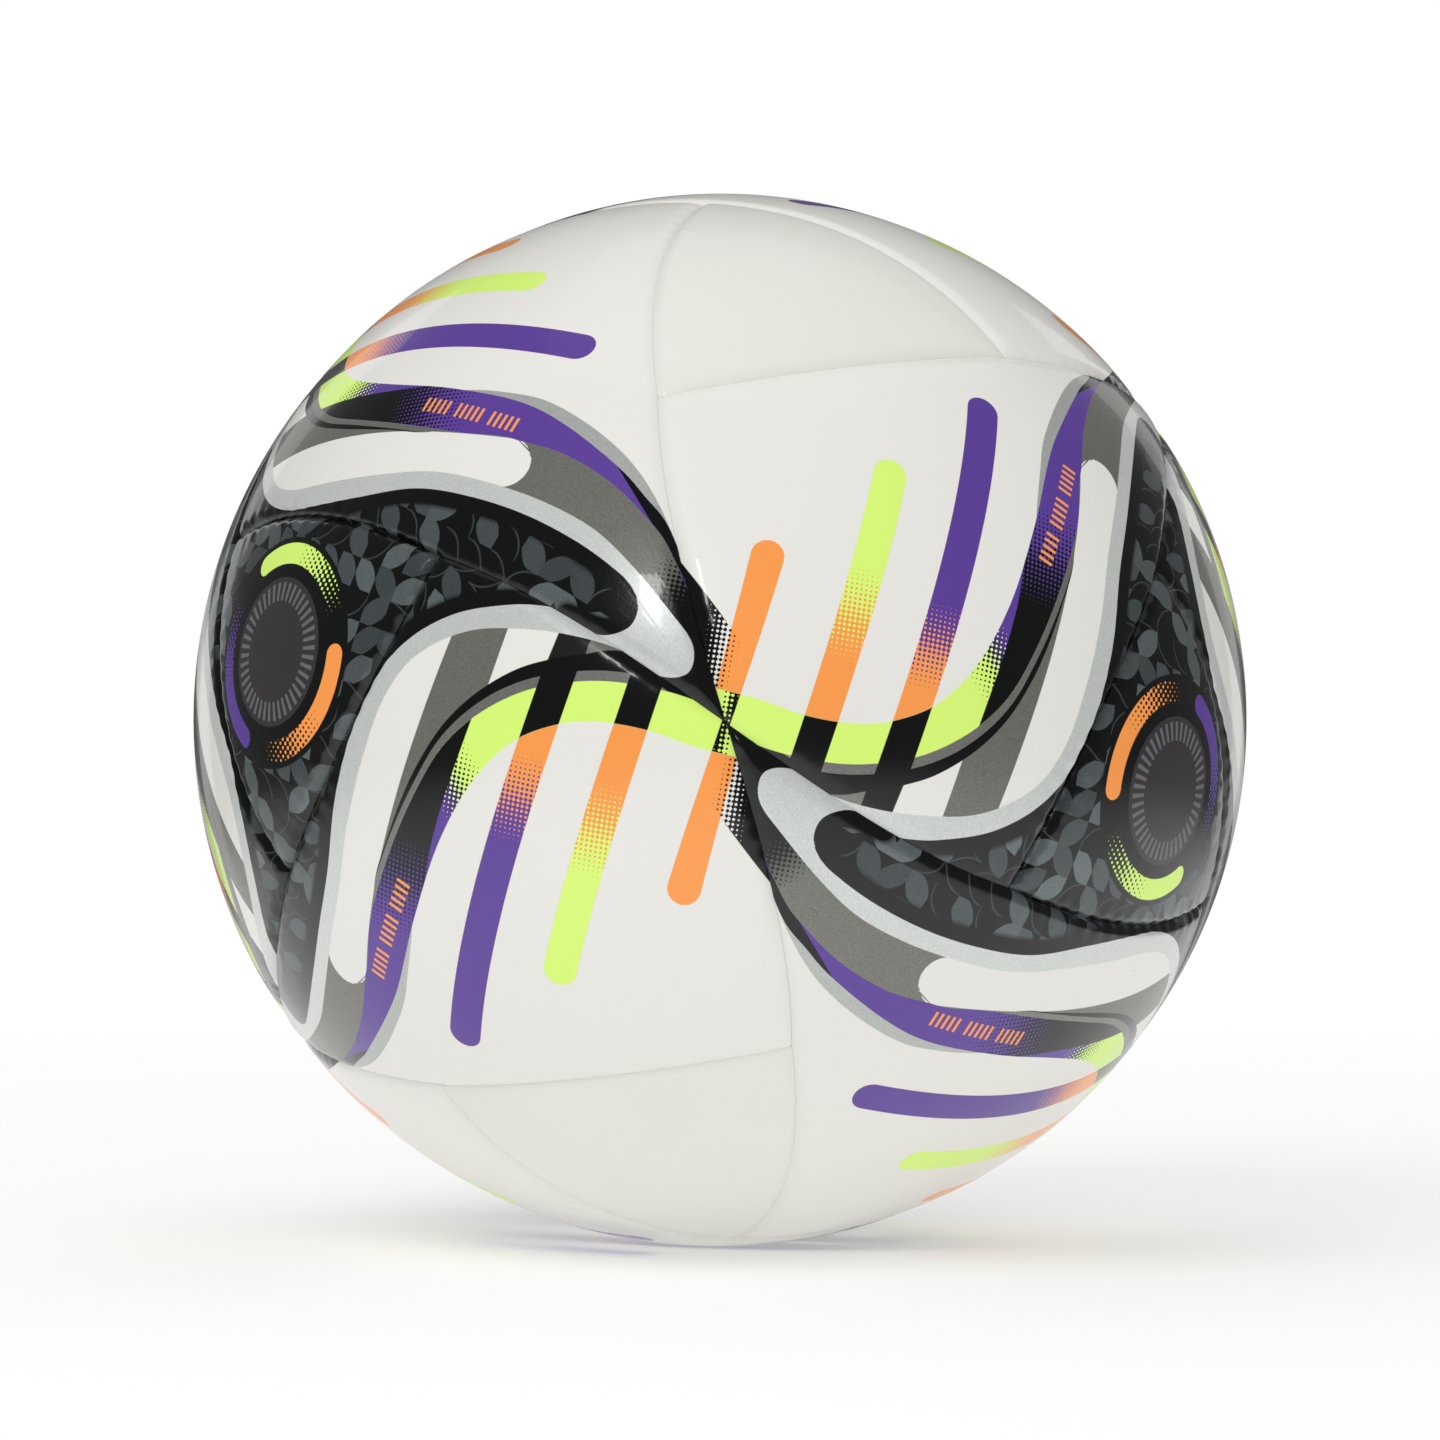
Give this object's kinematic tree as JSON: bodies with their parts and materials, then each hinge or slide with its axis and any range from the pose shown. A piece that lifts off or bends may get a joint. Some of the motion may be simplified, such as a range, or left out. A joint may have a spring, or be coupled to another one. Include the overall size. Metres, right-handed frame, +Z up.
{
  "type": "soccer ball",
  "caption": "Small stitched soccer ball with kite-shaped and triangular cover panels over foam, an air bladder and a needle valve.",
  "frame": {"origin": "centre of the ball", "axes": "+Z up, +X to the right and -Y towards the viewer of the reference view, which looks along +Y at a seam cross where four panels meet"},
  "size_m": [0.1394, 0.1398, 0.1394],
  "materials": {
    "printed_cover": "satin",
    "white_cover": "satin",
    "dark_cover": "satin",
    "foam_backing": "matte",
    "thread": "matte",
    "bladder_rubber": "matte",
    "valve_rubber": "matte",
    "patch_cloth": "matte"
  },
  "bodies": {
    "ball": {"kite_panel_01": "printed_cover", "kite_pad_01": "foam_backing", "kite_panel_02": "printed_cover", "kite_pad_02": "foam_backing", "kite_panel_03": "printed_cover", "kite_pad_03": "foam_backing", "kite_panel_04": "printed_cover", "kite_pad_04": "foam_backing", "kite_panel_05": "printed_cover", "kite_pad_05": "foam_backing", "kite_panel_06": "printed_cover", "kite_pad_06": "foam_backing", "kite_panel_07": "printed_cover", "kite_pad_07": "foam_backing", "kite_panel_08": "printed_cover", "kite_pad_08": "foam_backing", "kite_panel_09": "printed_cover", "kite_pad_09": "foam_backing", "kite_panel_10": "printed_cover", "kite_pad_10": "foam_backing", "kite_panel_11": "printed_cover", "kite_pad_11": "foam_backing", "kite_panel_12": "printed_cover", "kite_pad_12": "foam_backing", "plain_triangle_1": "white_cover", "plain_triangle_pad_1": "foam_backing", "dark_triangle_1": "dark_cover", "dark_triangle_pad_1": "foam_backing", "plain_triangle_2": "white_cover", "plain_triangle_pad_2": "foam_backing", "dark_triangle_2": "dark_cover", "dark_triangle_pad_2": "foam_backing", "plain_triangle_3": "white_cover", "plain_triangle_pad_3": "foam_backing", "dark_triangle_3": "dark_cover", "dark_triangle_pad_3": "foam_backing", "plain_triangle_4": "white_cover", "plain_triangle_pad_4": "foam_backing", "dark_triangle_4": "dark_cover", "dark_triangle_pad_4": "foam_backing", "seam_thread": "thread", "bladder": "bladder_rubber", "valve_housing": "valve_rubber", "valve_core": "valve_rubber", "valve_collar": "patch_cloth"}
  },
  "joints": []
}
